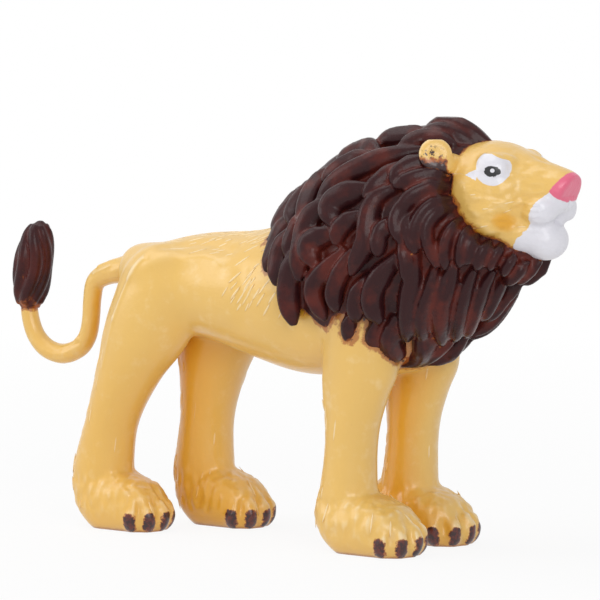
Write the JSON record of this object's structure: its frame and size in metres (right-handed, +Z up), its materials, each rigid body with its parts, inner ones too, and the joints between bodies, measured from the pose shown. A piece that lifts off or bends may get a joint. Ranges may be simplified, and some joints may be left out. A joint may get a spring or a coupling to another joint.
{
  "type": "toy lion figure",
  "caption": "Free-standing moulded toy lion: hollow torso shells, plug-in legs, head on a neck tenon, sleeve-like mane of thick locks, tail and tail tuft. Rests on flat paw soles.",
  "frame": {"origin": "on the ground under the middle of the figure's box", "axes": "+X towards the nose, +Y to the lion's left, +Z up"},
  "size_m": [0.1276, 0.0414, 0.0814],
  "materials": {
    "fur_plastic": "glossy golden yellow soft plastic with an orange wash in the hollows and brown painted claws",
    "painted_face": "glossy golden yellow soft plastic with a painted white muzzle, pink nose and white and black eyes",
    "hair_plastic": "satin dark brown paint with reddish brown in the grooves, worn to orange at the edges"
  },
  "bodies": {
    "root": {"torso_right_shell": "fur_plastic", "torso_left_shell": "fur_plastic", "right_front_leg": "fur_plastic", "left_front_leg": "fur_plastic", "right_hind_leg": "fur_plastic", "left_hind_leg": "fur_plastic", "tail": "fur_plastic", "head": "painted_face", "mane": "hair_plastic", "tail_tuft": "hair_plastic"}
  },
  "joints": []
}
